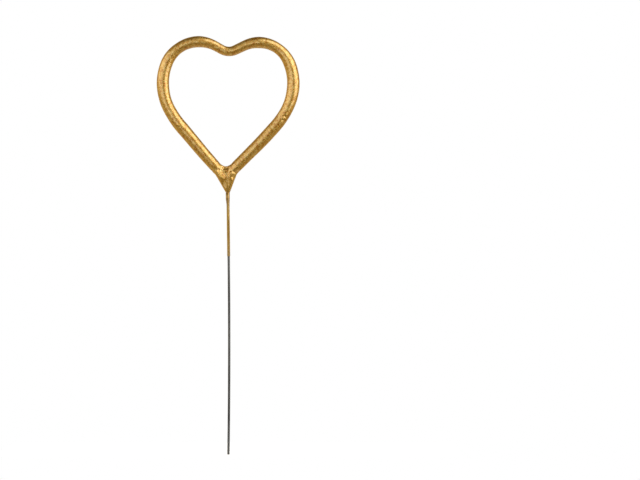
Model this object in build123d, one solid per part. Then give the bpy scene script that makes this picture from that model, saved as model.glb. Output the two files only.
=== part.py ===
from build123d import *

import os
from math import asin, atan2, cos, degrees, hypot, radians, sin, sqrt, tan

# A heart-shaped sparkler on a wire stem. One steel wire stands up as the stem, is bent round the
# heart and comes back to the stem as a short tail. Spark composition is dipped on to the heart and
# runs down into a bead, and gold lacquer covers the heart, the bead and the upper stem.
# The heart lies in the X-Z plane, and the origin is the middle of the stem's cut end.
# Lengths are in millimetres and angles in degrees. A side is 1 on the right and -1 on the left.

# The wire.
wire_diameter = 1.0
bare_length = 85.4
stem_lean = 0.7
lean_bend_radius = 60.0
leg_bend_radius = 4.0
tail_length = 1.6
tail_gap = 0.25

# The heart, on the middle of the wire. Its height is from the crossing of the legs to the lobes' top.
heart_height = 58.9
heart_span = 56.0
cleft_bend_radius = 6.4
flank_length = 2.95
flank_slope = 28.5
side_length = 3.0
side_bend_radius = 24.2

# The composition's thickness over the wire. It is even round each bend, and tapers between bends.
cleft_coat = 1.35
lobe_coat = 1.75
side_coat = 2.0
point_coat = 1.9
point_bend_radius = 5.1

# The bead under the point: two tapering strands with a web between them run into a thin neck.
bead_length = 6.05
left_strand_start = 5.0
left_strand_coat = 1.44
right_strand_start = 3.9
right_strand_coat = 1.3
web_start = 2.6
web_coat = 1.0
neck_length = 4.5
neck_top_coat = 0.16
neck_end_coat = 0.08

# The gold lacquer, its length on the upper stem, and the length over which it thins below the neck.
lacquer = 0.1
film_length = 22.8
lacquer_run_out = 1.2

# What follows from those sizes.
wire_radius = wire_diameter / 2
tail_pitch = wire_diameter + tail_gap
lean = radians(stem_lean)
stem_direction = Vector(-sin(lean), 0, cos(lean))
lean_bend_half = lean_bend_radius * tan(lean / 2)
lean_corner = Vector(0, 0, bare_length - lean_bend_half)
dip_line = lean_corner + stem_direction * lean_bend_half
neck_top_height = bare_length + film_length + neck_length
point_height = neck_top_height + bead_length
lobe_top = point_height + heart_height
flank = radians(flank_slope)
flank_reach = cleft_bend_radius * sin(flank) + flank_length * cos(flank)
lobe_bend_radius = (heart_span / 2 - flank_reach) / (1 + sin(flank))
flank_drop = (cleft_bend_radius + lobe_bend_radius) * (1 - cos(flank)) + flank_length * sin(flank)
cleft = Vector(0, lobe_top - flank_drop)


def on_stem(height):
    """The middle of the leaning upper stem at a height."""
    return lean_corner + stem_direction * ((height - lean_corner.Z) / cos(lean))


neck_top = on_stem(neck_top_height)
neck_end = neck_top - stem_direction * neck_length
point = on_stem(point_height) - Vector(tail_pitch / 2, 0, 0)


def leg_reach(side):
    """How far across and up the centre of a side's bend is from the point."""
    across = heart_span / 2 - side_bend_radius - side * point.X
    up = heart_height - lobe_bend_radius - side_length
    return across, up


def leg_lean(side):
    """The angle between the upright and a leg, which touches its side's bend."""
    across, up = leg_reach(side)
    return degrees(atan2(across, up) + asin(side_bend_radius / hypot(across, up)))


def leg_length(side):
    """From the point to the side's bend."""
    across, up = leg_reach(side)
    return sqrt(across**2 + up**2 - side_bend_radius**2)


def on_leg(side, distance):
    """A place on the middle of a leg, at a distance from the point."""
    slope = radians(leg_lean(side))
    return point + Vector(side * sin(slope), 0, cos(slope)) * distance


def bent_line(side, moves):
    """Edges from the cleft to one side. A move is a straight length, or a bend's radius and turn."""
    heading = 90 - side * 90
    start = cleft
    edges = []
    for move in moves:
        direction = Vector(cos(radians(heading)), sin(radians(heading)))
        if len(move) == 1:
            edge = Line(start, start + direction * move[0])
        else:
            radius, turn = move
            edge = JernArc(start, direction, radius, side * turn)
            heading += side * turn
        edges.append(Plane.XZ * edge)
        start = edge @ 1
    return edges


def lobe_moves(side):
    """From the cleft over a lobe and round the side to the top of the leg."""
    return [
        (cleft_bend_radius, flank_slope),
        (flank_length,),
        (lobe_bend_radius, -flank_slope - 90),
        (side_length,),
        (side_bend_radius, -leg_lean(side)),
    ]


def wire_half(side):
    """The wire from the cleft to the foot of the stem on the right, or to the tail's end on the left."""
    turn = leg_lean(side) + side * stem_lean
    slope = radians(leg_lean(side))
    bend_half = leg_bend_radius * tan(radians(turn) / 2)
    corner = tail_pitch / 2 / (sin(slope) + side * cos(slope) * tan(lean))
    moves = lobe_moves(side) + [(leg_length(side) - corner - bend_half,), (leg_bend_radius, turn)]
    if side < 0:
        return bent_line(side, moves + [(tail_length,)])
    upper_stem = (on_leg(side, corner) - lean_corner).length - bend_half - lean_bend_half
    lower_stem = lean_corner.Z - lean_bend_half
    return bent_line(side, moves + [(upper_stem,), (lean_bend_radius, -stem_lean), (lower_stem,)])


def make_core_wire():
    """Stem, right leg, heart, left leg and tail, bent from one wire."""
    path = Wire(wire_half(1) + wire_half(-1))
    return sweep((path ^ 0) * Circle(wire_radius), path)


def tapered(start, end, start_radius, end_radius):
    """A straight round rod between two places, which may taper."""
    along = end - start
    start_circle = Plane(start, z_dir=along) * Circle(start_radius)
    end_circle = Plane(end, z_dir=along) * Circle(end_radius)
    return loft([start_circle, end_circle], ruled=True)


def make_loop(skin):
    """The heart's thick round loop, with even bends and tapering runs."""
    point_turn = 180 - leg_lean(1) - leg_lean(-1)
    point_half = point_bend_radius * tan(radians(point_turn) / 2)
    bend_coats = [cleft_coat, lobe_coat, side_coat, point_coat]
    radii = [wire_radius + coat + skin for coat in bend_coats]
    pieces = []
    for side in (1, -1):
        moves = lobe_moves(side) + [
            (leg_length(side) - point_half,),
            (point_bend_radius, leg_lean(side) - 90),
        ]
        edges = bent_line(side, moves)
        for bend, radius in zip(edges[0::2], radii):
            pieces.append(sweep((bend ^ 0) * Circle(radius), bend))
        for run, start_radius, end_radius in zip(edges[1::2], radii, radii[1:]):
            pieces.append(tapered(run @ 0, run @ 1, start_radius, end_radius))
    return pieces


def make_bead(skin):
    """The two strands under the point, the web between them, and the neck that they run into."""
    left_radius = wire_radius + left_strand_coat + skin
    right_radius = wire_radius + right_strand_coat + skin
    web_radius = wire_radius + web_coat + skin
    neck_radius = wire_radius + neck_top_coat + skin
    end_radius = wire_radius + neck_end_coat + skin
    return [
        tapered(on_leg(-1, left_strand_start), neck_top, left_radius, end_radius),
        tapered(on_leg(1, right_strand_start), neck_top, right_radius, end_radius),
        tapered(point + Vector(0, 0, web_start), neck_top, web_radius, end_radius),
        tapered(neck_end, neck_top, end_radius, neck_radius),
        Pos(*neck_top) * Sphere(neck_radius),
    ]


def make_dipped_form(skin=0.0):
    """The outside of the composition, or with a skin the outside of the lacquer over it."""
    return Part() + make_loop(skin) + make_bead(skin)


def make_stem_film():
    """The lacquer on the upper stem, from the dip line to the end of the neck."""
    radius = wire_radius + lacquer
    run_out = neck_end - stem_direction * lacquer_run_out
    return [
        tapered(dip_line, run_out, radius, radius),
        tapered(run_out, neck_end, radius, radius + neck_end_coat),
    ]


core_wire = make_core_wire()
dipped_form = make_dipped_form()
gold_form = make_dipped_form(lacquer) + make_stem_film()
nodes = {
    "core_wire": core_wire,
    "spark_coat": dipped_form - core_wire,
    "gold_coat": gold_form - dipped_form - core_wire,
}
os.makedirs("parts", exist_ok=True)
for name, shape in nodes.items():
    export_step(shape, f"parts/{name}.step")
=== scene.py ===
from math import ceil, cos, degrees, exp, hypot, radians, sin, tan

import bmesh
import bpy
from mathutils import Matrix, Vector, geometry, noise


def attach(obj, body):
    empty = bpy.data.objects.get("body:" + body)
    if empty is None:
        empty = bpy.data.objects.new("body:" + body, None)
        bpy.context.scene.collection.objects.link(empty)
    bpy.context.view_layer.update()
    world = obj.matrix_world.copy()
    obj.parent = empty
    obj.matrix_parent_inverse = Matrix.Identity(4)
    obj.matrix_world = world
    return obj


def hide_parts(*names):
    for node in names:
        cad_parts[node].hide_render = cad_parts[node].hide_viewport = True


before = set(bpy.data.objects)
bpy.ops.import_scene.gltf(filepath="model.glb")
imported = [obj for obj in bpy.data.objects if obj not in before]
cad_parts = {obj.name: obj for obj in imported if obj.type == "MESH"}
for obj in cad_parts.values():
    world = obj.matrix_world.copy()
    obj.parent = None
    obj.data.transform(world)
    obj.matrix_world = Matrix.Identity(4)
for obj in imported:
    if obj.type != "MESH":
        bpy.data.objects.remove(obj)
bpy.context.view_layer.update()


# The core wire is one drawn steel wire, dull grey, bent cold on pins. It stands up as a slightly
# bowed stem, bends into the right leg, goes round the heart and down the left leg, and ends as a
# short tail beside the stem. Lengths are in metres, and turns and headings in degrees.
wire_radius = 0.00052
wire_sides = 24
straight_up = 90
foot_lean = 0.82
stem_bow_radius = 3.26
stem_bow_turn = 1.5
leg_bend_radius = 0.004
tail_length = 0.0016
tail_pitch = 0.00125
cleft = Vector((0.0003, 0, 0.17342))
right_flank_lean = 25.33
left_flank_lean = 29.22
right_lobe_radius = 0.01426
left_lobe_radius = 0.01483
lobe_top_turn = 36.0
point_bend_radius = 0.0053
right_leg_lean = 45.11
left_leg_lean = 42.11


def run(length):
    """A straight run, as the wire's length and turn."""
    return length, 0.0


def bend(radius, turn):
    """A round bend, as the wire's length and turn."""
    return radius * abs(radians(turn)), turn


def way(heading):
    """The direction of a heading in the heart's plane, from +X towards +Z."""
    return Vector((cos(radians(heading)), 0, sin(radians(heading))))


def follow(place, heading, radius, moves):
    """Places, headings and radii a stride apart along moves of a length, a turn and an end radius."""
    stride = 0.0007
    line = [(place, heading, radius)]
    for length, turn, end_radius in moves:
        steps = ceil(length / stride)
        half_turn = turn / steps / 2
        growth = (end_radius - radius) / steps
        for _ in range(steps):
            heading += half_turn
            place = place + way(heading) * (length / steps)
            heading += half_turn
            radius += growth
            line.append((place, heading, radius))
    return line


def bare(moves):
    """The moves at the wire's own radius."""
    return [(length, turn, wire_radius) for length, turn in moves]


def other_way(moves):
    """The moves with every turn to the other hand."""
    return [(length, -turn) for length, turn in moves]


# Each side of the heart from the cleft outwards: the cleft's bend, the flank, the lobe, the side and
# the slightly curved top of the leg.
right_side = [
    bend(0.00588, right_flank_lean),
    run(0.00453),
    bend(right_lobe_radius, -right_flank_lean),
    bend(right_lobe_radius, -lobe_top_turn),
    bend(right_lobe_radius, -30.61),
    bend(0.0224, -30.4),
    bend(0.0258, -21.49),
    bend(0.0359, -13.83),
    run(0.00405),
    bend(0.1855, -2.78),
]
left_side = [
    bend(0.00649, left_flank_lean),
    run(0.00307),
    bend(left_lobe_radius, -left_flank_lean),
    bend(left_lobe_radius, -lobe_top_turn),
    bend(left_lobe_radius, -31.28),
    bend(0.0225, -21.61),
    bend(0.0241, -29.32),
    bend(0.0424, -11.95),
    run(0.0129),
    bend(0.2645, -1.95),
]
point_bend = bend(point_bend_radius, right_leg_lean + left_leg_lean - 180)

# The legs run straight from there to the point, and are as long as the closed heart needs.
open_heart = follow(cleft, 0, wire_radius, bare(right_side + [point_bend] + left_side[::-1]))
shortfall = cleft - open_heart[-1][0]
right_leg_way = way(straight_up - right_leg_lean)
left_leg_way = way(straight_up + left_leg_lean)
leg_ways = Matrix(((-right_leg_way.x, left_leg_way.x), (-right_leg_way.z, left_leg_way.z)))
right_leg, left_leg = leg_ways.inverted() @ Vector((shortfall.x, shortfall.z))

# The lines of the legs cross under the point, and the stem and the tail run up to them.
point_tangent = point_bend_radius * tan(radians(-point_bend[1] / 2))
right_foot = follow(cleft, 0, wire_radius, bare(right_side + [run(right_leg)]))[-1][0]
crossing = right_foot - right_leg_way * point_tangent
stem_start = straight_up - foot_lean
stem_bow = bend(stem_bow_radius, stem_bow_turn)
dip_line, stem_heading, _ = follow(Vector(), stem_start, wire_radius, bare([stem_bow]))[-1]
stem_way = way(stem_heading)


def corner(stem_place, leg_way):
    """Where a line along the stem meets the line of a leg."""
    stem_line = (stem_place, stem_place + stem_way)
    leg_line = (crossing, crossing + leg_way)
    return geometry.intersect_line_line(*stem_line, *leg_line)[0]


right_corner = corner(dip_line, right_leg_way)
right_turn = straight_up - right_leg_lean - stem_heading
right_tangent = leg_bend_radius * tan(radians(-right_turn / 2))
left_corner = corner(dip_line - Vector((tail_pitch, 0, 0)), left_leg_way)
left_turn = stem_heading - straight_up - left_leg_lean
left_tangent = leg_bend_radius * tan(radians(-left_turn / 2))
whole_wire = [
    stem_bow,
    run((right_corner - dip_line).length - right_tangent),
    bend(leg_bend_radius, right_turn),
    run(right_leg + point_tangent - (right_corner - crossing).length - right_tangent),
    *other_way(right_side[::-1]),
    *other_way(left_side),
    run(left_leg + point_tangent - (left_corner - crossing).length - left_tangent),
    bend(leg_bend_radius, left_turn),
    run(tail_length),
]


def draw_rod(bm, line, sides):
    """Draws a ring of edges along a line of places, headings and radii, and closes both ends."""
    seat = None
    for place, heading, radius in line:
        turned = Matrix.Rotation(radians(straight_up - heading), 4, "Y")
        next_seat = Matrix.Translation(place) @ turned @ Matrix.Scale(radius, 4)
        if seat is None:
            ring = bmesh.ops.create_circle(bm, segments=sides, radius=1, matrix=next_seat)["verts"]
            edges = list({edge for vert in ring for edge in vert.link_edges})
            start_edges = edges
        else:
            drawn = bmesh.ops.extrude_edge_only(bm, edges=edges)["geom"]
            ring = [item for item in drawn if isinstance(item, bmesh.types.BMVert)]
            edges = [item for item in drawn if isinstance(item, bmesh.types.BMEdge)]
            edges = [edge for edge in edges if edge.is_boundary]
            bmesh.ops.transform(bm, matrix=next_seat @ seat.inverted(), verts=ring)
        seat = next_seat
    bmesh.ops.holes_fill(bm, edges=start_edges + edges, sides=0)


def add_piece(name, bm):
    """The object of a finished mesh, smooth, with its faces pointing outwards."""
    bmesh.ops.recalc_face_normals(bm, faces=bm.faces)
    for face in bm.faces:
        face.smooth = True
    mesh = bpy.data.meshes.new(name)
    bm.to_mesh(mesh)
    bm.free()
    piece = bpy.data.objects.new(name, mesh)
    bpy.context.scene.collection.objects.link(piece)
    return piece


bm = bmesh.new()
draw_rod(bm, follow(Vector(), stem_start, wire_radius, bare(whole_wire)), wire_sides)
wire = add_piece("steel_wire", bm)
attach(wire, "root")
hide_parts("core_wire")


def start_material(piece, name):
    """A new material on a piece, as its node tree and its shader."""
    material = bpy.data.materials.new(name)
    material.use_nodes = True
    piece.data.materials.clear()
    piece.data.materials.append(material)
    tree = material.node_tree
    return tree, tree.nodes["Principled BSDF"]


def add_node(tree, kind, inputs, **settings):
    """A node with its settings, and with each named input set to a value or linked to an output."""
    node = tree.nodes.new(kind)
    for name, value in settings.items():
        setattr(node, name, value)
    for name, value in inputs.items():
        if isinstance(value, bpy.types.NodeSocket):
            tree.links.new(value, node.inputs[name])
        else:
            node.inputs[name].default_value = value
    return node


def own_places(tree):
    """The piece's own coordinates."""
    return add_node(tree, "ShaderNodeTexCoord", {}).outputs["Object"]


def height_of(tree, places):
    """How high the places are above the foot."""
    return add_node(tree, "ShaderNodeSeparateXYZ", {"Vector": places}).outputs["Z"]


def add_math(tree, operation, first, second):
    """The value of two numbers or outputs put together."""
    node = add_node(tree, "ShaderNodeMath", {0: first, 1: second}, operation=operation)
    return node.outputs["Value"]


def add_noise(tree, places, scale, detail, roughness):
    """Cloudy values between 0 and 1."""
    inputs = {"Vector": places, "Scale": scale, "Detail": detail, "Roughness": roughness}
    return add_node(tree, "ShaderNodeTexNoise", inputs).outputs["Fac"]


def add_ramp(tree, factor, stops):
    """Colours along a factor, at the given stops."""
    ramp = add_node(tree, "ShaderNodeValToRGB", {"Fac": factor})
    elements = ramp.color_ramp.elements
    while len(elements) < len(stops):
        elements.new(1)
    for element, (position, colour) in zip(elements, stops):
        element.position = position
        element.color = (*colour, 1)
    return ramp.outputs["Color"]


def add_relief(tree, shader, height, depth):
    """Fine relief on a surface, too small for its mesh."""
    bump = add_node(tree, "ShaderNodeBump", {"Height": height, "Distance": depth})
    tree.links.new(bump.outputs["Normal"], shader.inputs["Normal"])


# The die left fine lines along the wire, and handling left cloudy marks and stains. The stains are
# shares of the bare wire's height, with the shade at each.
line_scale = (7000, 7000, 120)
line_depth = 0.000005
cloud_scale = 45
dark_steel = (0.06, 0.06, 0.06)
bright_steel = (0.21, 0.21, 0.205)
stains = [
    (0.05, 0.92),
    (0.12, 0.88),
    (0.18, 0.48),
    (0.24, 0.57),
    (0.37, 0.78),
    (0.49, 0.85),
    (0.65, 0.83),
    (0.85, 0.55),
    (1.0, 1.0),
]
tree, shader = start_material(wire, "drawn_steel")
places = own_places(tree)
rise = height_of(tree, places)
lengthwise = add_node(tree, "ShaderNodeMapping", {"Vector": places, "Scale": line_scale})
draw_lines = add_noise(tree, lengthwise.outputs["Vector"], scale=1, detail=4, roughness=0.5)
cloudy = add_noise(tree, places, cloud_scale, detail=3, roughness=0.5)
stain_shades = [(position, (shade, shade, shade)) for position, shade in stains]
stained = add_ramp(tree, add_math(tree, "DIVIDE", rise, dip_line.z), stain_shades)
tone = add_math(tree, "MULTIPLY", add_math(tree, "MULTIPLY", draw_lines, cloudy), stained)
steel = add_ramp(tree, tone, [(0.1, dark_steel), (0.4, bright_steel)])
tree.links.new(steel, shader.inputs["Base Color"])
shader.inputs["Metallic"].default_value = 1.0
shader.inputs["Roughness"].default_value = 0.42
add_relief(tree, shader, draw_lines, line_depth)


# The spark composition is a grey mineral crust that was dipped on to the heart in several coats.
# It ends in a bead under the point, where the two legs' coats ran together into a thin neck.
# The radii here go out to the lacquer's surface, and the body is drawn a lacquer's thickness inside.
lacquer = 0.0001
cleft_skin = 0.0021
point_skin = 0.00255
leg_thins = 0.0064
leg_ends = 0.0024
leg_end_skin = 0.0015
web_start = 0.0052
web_radius = 0.00208
web_flatness = 0.55
neck_rise = 0.0273
neck_skin = 0.00085
coat_sides = 40
web_sides = 32
drip_sides = 24
face_size = 0.00024
straight_down = -90
neck_top = dip_line + stem_way * neck_rise

# The radius at the outer end of each stretch of a side, and last where its leg begins to thin.
right_skin = [
    0.00214, 0.00223, 0.00252, 0.00232, 0.00266, 0.00275,
    0.0026, 0.00268, 0.00269, 0.0026, 0.00247,
]
left_skin = [
    0.00207, 0.00214, 0.0025, 0.00238, 0.00264, 0.00271,
    0.00264, 0.00278, 0.00266, 0.0025, 0.00247,
]

# The drips of the bead, as places from the crossing of the legs with a radius at each.
middle_drip = [
    ((0.0003, 0, 0.0032), 0.0014),
    ((0.0007, 0, -0.0003), 0.00165),
    ((0.001, 0, -0.0037), 0.00125),
]
left_drip = [
    ((-0.0051, -0.00035, 0.0048), 0.0012),
    ((-0.0033, -0.00075, 0.0025), 0.00165),
    ((-0.0013, -0.0004, -0.0011), 0.0014),
    ((0.0, -0.0003, -0.0039), 0.00115),
]
right_drip = [
    ((0.0032, -0.0006, 0.0022), 0.0009),
    ((0.003, -0.0008, 0.0011), 0.0016),
    ((0.0024, -0.00055, -0.0015), 0.0013),
    ((0.0019, -0.0003, -0.0041), 0.001),
]


def taper(start, end, start_radius, end_radius):
    """A straight line between two places, with its radius at each."""
    along = end - start
    lean = Vector((0, 1)).angle_signed(Vector((along.x, along.z)))
    heading = straight_up - degrees(lean)
    return [(start, heading, start_radius), (end, heading, end_radius)]


# The webs under the point are thinner from front to back than the legs beside them.
bm = bmesh.new()
point_radius = point_skin - lacquer
point_web = [(*point_bend, point_radius)]
point_start = straight_down - right_leg_lean
draw_rod(bm, follow(right_foot, point_start, point_radius, point_web), coat_sides)
for leg_way in (right_leg_way, left_leg_way):
    web_top = crossing + leg_way * web_start
    draw_rod(bm, taper(web_top, neck_top, web_radius - lacquer, neck_skin - lacquer), web_sides)
bmesh.ops.scale(bm, vec=(1, web_flatness, 1), verts=bm.verts)

# The coat of the heart runs up the right leg, round the lobes and down the left leg.
leg_taper = run(leg_thins - leg_ends)
coated = [
    leg_taper,
    run(right_leg + point_tangent - leg_thins),
    *other_way(right_side[::-1]),
    *other_way(left_side),
    run(left_leg + point_tangent - leg_thins),
    leg_taper,
]
skins = [*right_skin[::-1], cleft_skin, *left_skin, leg_end_skin]
coat = [(*move, skin - lacquer) for move, skin in zip(coated, skins)]
coat_start = crossing + right_leg_way * leg_ends
coat_heading = straight_up - right_leg_lean
draw_rod(bm, follow(coat_start, coat_heading, leg_end_skin - lacquer, coat), coat_sides)

# The drips lie on the front and the back of the bead and meet at the neck.
neck_seat = (neck_top, straight_down, neck_skin - lacquer)
for drip in (left_drip, middle_drip, right_drip):
    for side in (1, -1):
        line = []
        for place, radius in drip:
            on_side = Matrix.Scale(side, 4, (0, 1, 0)) @ Vector(place)
            line.append((crossing + on_side, straight_down, radius - lacquer))
        draw_rod(bm, line + [neck_seat], drip_sides)

# All of these ran together into one body, here of small even faces.
blank = add_piece("blank", bm)
run_together = blank.modifiers.new("run_together", "REMESH")
run_together.mode = "VOXEL"
run_together.voxel_size = face_size
shown = blank.evaluated_get(bpy.context.evaluated_depsgraph_get())
dipped = bmesh.new()
dipped.from_mesh(shown.to_mesh())
bpy.data.objects.remove(blank)


def settle(bm, rounds):
    """Smooths a wet coat."""
    axes = {"use_axis_x": True, "use_axis_y": True, "use_axis_z": True}
    for _ in range(rounds):
        bmesh.ops.smooth_vert(bm, verts=bm.verts, factor=0.5, **axes)


def press_flat(bm, middle, facing, heading, half_length, half_width):
    """Flattens a patch of a body's front, which runs out softly into the rest."""
    reach = 1.3
    run_out = 0.6
    least_depth = 0.0002
    for vert in bm.verts:
        offset = vert.co - middle
        along = offset.dot(way(heading)) / half_length
        across = offset.dot(way(heading + 90)) / half_width
        away = hypot(along, across)
        if vert.normal.y < 0 and away < reach:
            hold = min(1, (reach - away) / run_out)
            eased = hold * hold * (3 - 2 * hold)
            flat = middle.y - (facing[0] * offset.x + facing[2] * offset.z) / facing[1]
            vert.co.y += (min(flat, -least_depth) - vert.co.y) * eased


# The wet bead slumped into flat patches on its front. Each has its middle from the crossing of the
# legs, the way that it faces, the heading of its long side, and its half length and half width.
slumps = [
    ((-0.00166, -0.00175, 0.00123), (0.22, -0.96, 0.16), -49, 0.0024, 0.0013),
    ((0.0026, -0.00192, 0.0004), (0.12, -0.985, -0.08), -80, 0.0018, 0.0011),
    ((0.0037, -0.00115, 0.0006), (0.6, -0.68, -0.42), -55, 0.0021, 0.0009),
    ((-0.00015, -0.0012, -0.00301), (-0.2, -0.97, -0.15), -63, 0.0019, 0.0008),
    ((0.0001, -0.0004, 0.0039), (0, -0.62, 0.78), 0, 0.0013, 0.0011),
]
settle(dipped, rounds=7)
bmesh.ops.recalc_face_normals(dipped, faces=dipped.faces)
for middle, *patch in slumps:
    press_flat(dipped, crossing + Vector(middle), *patch)
settle(dipped, rounds=3)

# The dried crust swells and has small lumps all over. Its front has blisters and pits, as places
# across and up with a radius and a height.
swell_fineness = 160
swell_height = 0.00005
lump_fineness = 700
lump_height = 0.000017
flaws = [
    ((-0.0215, 0.1417), 0.0005, 0.0002),
    ((-0.022, 0.1407), 0.0005, -0.00012),
    ((0.0236, 0.1447), 0.0005, 0.00018),
    ((0.0242, 0.1456), 0.0005, -0.00012),
    ((0.0233, 0.1439), 0.0005, -0.00012),
    ((0.018, 0.14), 0.0005, 0.00014),
    ((-0.0042, 0.1227), 0.0004, -0.0002),
    ((-0.0032, 0.1224), 0.0004, -0.0002),
]
dipped.normal_update()
for vert in dipped.verts:
    swell = noise.noise(vert.co * swell_fineness) * swell_height
    lump = noise.noise(vert.co * lump_fineness) * lump_height
    frontness = max(0, -vert.normal.y)
    for (across, up), radius, height in flaws:
        away = hypot(vert.co.x - across, vert.co.z - up)
        vert.co.y -= frontness * height * exp(-((away / radius) ** 2))
    vert.co += vert.normal * (swell + lump)
composition = add_piece("spark_composition", dipped.copy())
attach(composition, "root")
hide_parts("spark_coat")

# The grain of the crust shows through the lacquer too, at another size.
grain = bpy.data.node_groups.new("coat_grain", "ShaderNodeTree")
grain.interface.new_socket("Vector", in_out="INPUT", socket_type="NodeSocketVector")
grain.interface.new_socket("Grain Scale", in_out="INPUT", socket_type="NodeSocketFloat")
grain.interface.new_socket("Lump Scale", in_out="INPUT", socket_type="NodeSocketFloat")
grain.interface.new_socket("Mottle", in_out="OUTPUT", socket_type="NodeSocketFloat")
grain.interface.new_socket("Height", in_out="OUTPUT", socket_type="NodeSocketFloat")
given = add_node(grain, "NodeGroupInput", {}).outputs
fine = add_noise(grain, given["Vector"], given["Grain Scale"], detail=3, roughness=0.75)
coarse = add_noise(grain, given["Vector"], given["Lump Scale"], detail=2, roughness=0.5)
mixed = add_math(grain, "ADD", fine, coarse)
halved = add_math(grain, "MULTIPLY", mixed, 0.5)
add_node(grain, "NodeGroupOutput", {"Mottle": halved, "Height": mixed})


def add_grain(tree, places, grain_scale, lump_scale):
    """The mottle and the height of the coat's grain, at its sizes in one material."""
    inputs = {"Vector": places, "Grain Scale": grain_scale, "Lump Scale": lump_scale}
    return add_node(tree, "ShaderNodeGroup", inputs, node_tree=grain).outputs


dark_crust = (0.1, 0.1, 0.1)
pale_crust = (0.34, 0.33, 0.32)
crust_depth = 0.0001
tree, shader = start_material(composition, "baked_composition")
crust = add_grain(tree, own_places(tree), grain_scale=3000, lump_scale=800)
grey = add_ramp(tree, crust["Mottle"], [(0.3, dark_crust), (0.7, pale_crust)])
tree.links.new(grey, shader.inputs["Base Color"])
shader.inputs["Roughness"].default_value = 0.85
add_relief(tree, shader, crust["Height"], crust_depth)


# The gold coat is a metallic lacquer, sprayed and dipped over the composition, the bead, the neck and
# the upper stem. It follows every grain under it and ends at a straight dip line on the wire.
film_radius = 0.00065
film_sides = 24
neck_radius = 0.00085
neck_length = 0.0026
film_run_out = 0.0024
neck_sag = Vector((-0.0001, 0, 0))

dipped.normal_update()
for vert in dipped.verts:
    vert.co += vert.normal * lacquer
neck_end = neck_top - stem_way * neck_length
film_end = neck_end - stem_way * film_run_out
film = taper(dip_line, film_end, film_radius, film_radius)
film += taper(neck_end + neck_sag, neck_top + neck_sag, neck_radius, neck_radius)
draw_rod(dipped, film, film_sides)
gold = add_piece("gold_lacquer", dipped)
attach(gold, "root")
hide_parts("gold_coat")


def add_range(tree, value, low, high, at_low=0.0, at_high=1.0):
    """A value that changes evenly while another rises from low to high, and then holds."""
    inputs = {"Value": value, "From Min": low, "From Max": high}
    inputs.update({"To Min": at_low, "To Max": at_high})
    return add_node(tree, "ShaderNodeMapRange", inputs).outputs["Result"]


# The lacquer pooled on the bead and filled the grain there, and it is smooth and pale on the stem.
# Heights are above the foot.
bead_foot = 0.116
bead_head = 0.1225
bead_grain = 0.2
stem_film_top = 0.1085
bead_film_foot = 0.1155
stem_film_tone = 0.56
bead_film_tone = 0.5
deep_gold = (0.44, 0.16, 0.011)
warm_gold = (0.63, 0.34, 0.046)
pale_gold = (0.735, 0.495, 0.145)
grain_depth = 0.00006
tree, shader = start_material(gold, "gold_lacquer")
places = own_places(tree)
rise = height_of(tree, places)
paint = add_grain(tree, places, grain_scale=2200, lump_scale=900)
showing = add_range(tree, rise, bead_foot, bead_head, at_low=bead_grain)
smooth = add_range(tree, rise, stem_film_top, bead_film_foot, stem_film_tone, bead_film_tone)
# A Mix node's sockets go by number: 0 is its factor, 2 and 3 are values, and 6 and 7 are colours.
mottle = add_node(tree, "ShaderNodeMix", {0: showing, 2: smooth, 3: paint["Mottle"]}).outputs[0]
gilt = add_ramp(tree, mottle, [(0.38, deep_gold), (0.47, warm_gold), (0.575, pale_gold)])

# It is thin and brown round the neck, where it drained off on to the wire, and painted shade darkens
# the neck's foot.
neck_shade_foot = 0.1035
neck_shade_head = 0.1135
neck_tint_and_shade_stops = [
    (0.0, (1, 1, 1)),
    (0.4, (0.49, 0.43, 0.15)),
    (0.65, (0.42, 0.36, 0.12)),
    (0.8, (0.56, 0.5, 0.3)),
    (1.0, (1, 1, 1)),
]
neck_tint_and_shade = add_ramp(tree, add_range(tree, rise, neck_shade_foot, neck_shade_head), neck_tint_and_shade_stops)
multiply = {"data_type": "RGBA", "blend_type": "MULTIPLY"}
# The brown tint and the painted shade under the neck's end multiply the gilt.
gilt_with_neck_shade = add_node(tree, "ShaderNodeMix", {0: 1.0, 6: gilt, 7: neck_tint_and_shade}, **multiply).outputs[2]
tree.links.new(gilt_with_neck_shade, shader.inputs["Base Color"])
shader.inputs["Metallic"].default_value = 1.0
shader.inputs["Roughness"].default_value = 0.44
shader.inputs["Specular Tint"].default_value = (0.6, 0.45, 0.25, 1)
shader.inputs["Coat Weight"].default_value = 1.0
shader.inputs["Coat Roughness"].default_value = 0.2
shader.inputs["Coat IOR"].default_value = 1.65
add_relief(tree, shader, mottle, grain_depth)


# The stage is a white sheet under the foot, a dim studio with a white wall behind, and three soft
# lights: a large one high on the right, a wide, weaker one on the left and a faint one above. The
# camera looks straight at the heart.
light_distance = 0.8
lit_place = Vector((0, 0, 0.15))


def add_soft_light(name, side_angle, rise_angle, roll, width, height, radiance):
    """A rectangular light that faces the heart. Its side angle runs from the camera to the right."""
    out = Matrix.Rotation(radians(side_angle), 4, "Z") @ Matrix.Rotation(radians(-rise_angle), 4, "X")
    seat = Matrix.Translation(lit_place) @ out @ Matrix.Translation((0, -light_distance, 0))
    facing = Matrix.Rotation(radians(90), 4, "X") @ Matrix.Rotation(radians(roll), 4, "Z")
    light = bpy.data.lights.new(name, "AREA")
    light.shape = "RECTANGLE"
    light.size = width
    light.size_y = height
    # A light's face is as bright as a quarter of its power over its area.
    light.energy = radiance * 4 * width * height
    lamp = bpy.data.objects.new(name, light)
    lamp.matrix_world = seat @ facing
    lamp.visible_camera = False
    bpy.context.scene.collection.objects.link(lamp)


add_soft_light(
    "key_light", side_angle=60, rise_angle=25, roll=9, width=0.98, height=1.45, radiance=1.8
)
add_soft_light(
    "fill_light", side_angle=-51, rise_angle=13, roll=-18, width=1.85, height=0.66, radiance=1.08
)
add_soft_light(
    "top_light", side_angle=-12, rise_angle=42, roll=-18, width=0.9, height=0.4, radiance=0.25
)

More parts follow.
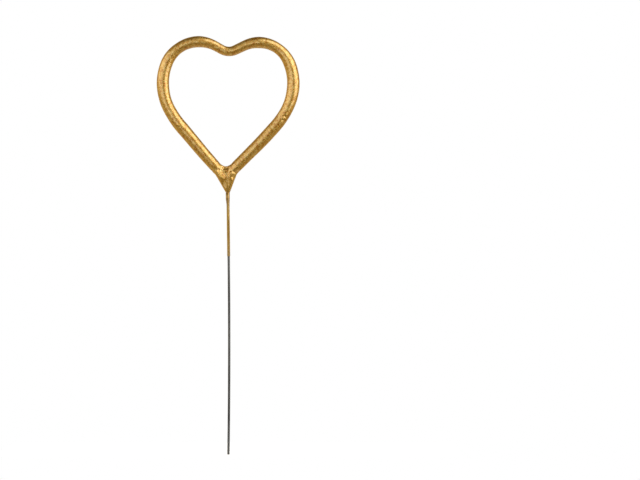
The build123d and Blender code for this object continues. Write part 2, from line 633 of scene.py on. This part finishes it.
sheet_half = 0.1
sheet_front = -0.02
sheet_drop = 0.0002
sheet_white = 0.65
sheet_in_metal = 0.1
sheet_seat = Matrix.Translation((0, sheet_half + sheet_front, -sheet_drop))
bm = bmesh.new()
bmesh.ops.create_grid(bm, x_segments=1, y_segments=1, size=sheet_half, matrix=sheet_seat)
floor = add_piece("floor", bm)


def seen_directly(tree):
    """Two values: 1 on rays from the camera, and 1 on rays from metal or glass."""
    path = add_node(tree, "ShaderNodeLightPath", {}).outputs
    by_mirror = add_math(tree, "MAXIMUM", path["Is Glossy Ray"], path["Is Transmission Ray"])
    return path["Is Camera Ray"], by_mirror


tree, shader = start_material(floor, "white_sheet")
shader.inputs["Base Color"].default_value = (0.8, 0.8, 0.8, 1)
shader.inputs["Roughness"].default_value = 0.9
shader.inputs["Specular IOR Level"].default_value = 0.0
shader.inputs["Emission Color"].default_value = (1, 1, 1, 1)
by_camera, by_mirror = seen_directly(tree)
shine = add_math(tree, "MULTIPLY", by_camera, sheet_white)
glow = add_math(tree, "MULTIPLY", by_mirror, sheet_in_metal)
tree.links.new(add_math(tree, "ADD", shine, glow), shader.inputs["Emission Strength"])

# The studio is warm and dim, and lighter behind the heart, below it and on its left. The camera sees
# only white, and so does metal that faces the wall.
room_colour = (1, 0.82, 0.42, 1)
room_light = 0.31
least_light = 0.08
light_behind = 0.5
light_below = 0.24
light_on_left = 0.1
wall_edge = 0.97
wall_full = 0.99
world = bpy.data.worlds.new("studio")
bpy.context.scene.world = world
world.use_nodes = True
tree = world.node_tree
outwards = add_node(tree, "ShaderNodeTexCoord", {}).outputs["Generated"]
outwards = add_node(tree, "ShaderNodeSeparateXYZ", {"Vector": outwards}).outputs
level = add_math(tree, "SUBTRACT", 1.0, add_math(tree, "MULTIPLY", outwards["Z"], outwards["Z"]))
behind = add_math(tree, "MULTIPLY", add_math(tree, "MULTIPLY", outwards["Y"], level), light_behind)
below = add_math(tree, "MULTIPLY", outwards["Z"], -light_below)
on_left = add_math(tree, "MULTIPLY", outwards["X"], -light_on_left)
around = add_math(tree, "ADD", behind, add_math(tree, "ADD", below, on_left))
dim = add_math(tree, "MAXIMUM", add_math(tree, "ADD", around, room_light), least_light)
room = tree.nodes["Background"]
room.inputs["Color"].default_value = room_colour
tree.links.new(dim, room.inputs["Strength"])
backdrop = add_node(tree, "ShaderNodeBackground", {"Color": (1, 1, 1, 1), "Strength": 1.0})
by_camera, by_mirror = seen_directly(tree)
wall = add_range(tree, outwards["Y"], wall_edge, wall_full)
white = add_math(tree, "MAXIMUM", by_camera, add_math(tree, "MULTIPLY", by_mirror, wall))
room_or_white = {0: white, 1: room.outputs["Background"], 2: backdrop.outputs["Background"]}
studio = add_node(tree, "ShaderNodeMixShader", room_or_white).outputs["Shader"]
tree.links.new(studio, tree.nodes["World Output"].inputs["Surface"])

camera_distance = 3.0
view_width = 0.2754
view_middle = (0.0394, 0.0923)
lens = bpy.data.cameras.new("camera")
lens.lens = lens.sensor_width * camera_distance / view_width
camera = bpy.data.objects.new("camera", lens)
camera.location = (view_middle[0], -camera_distance, view_middle[1])
camera.rotation_euler = (radians(90), 0, 0)
bpy.context.scene.collection.objects.link(camera)
bpy.context.scene.camera = camera
bpy.context.scene.view_settings.view_transform = "Standard"
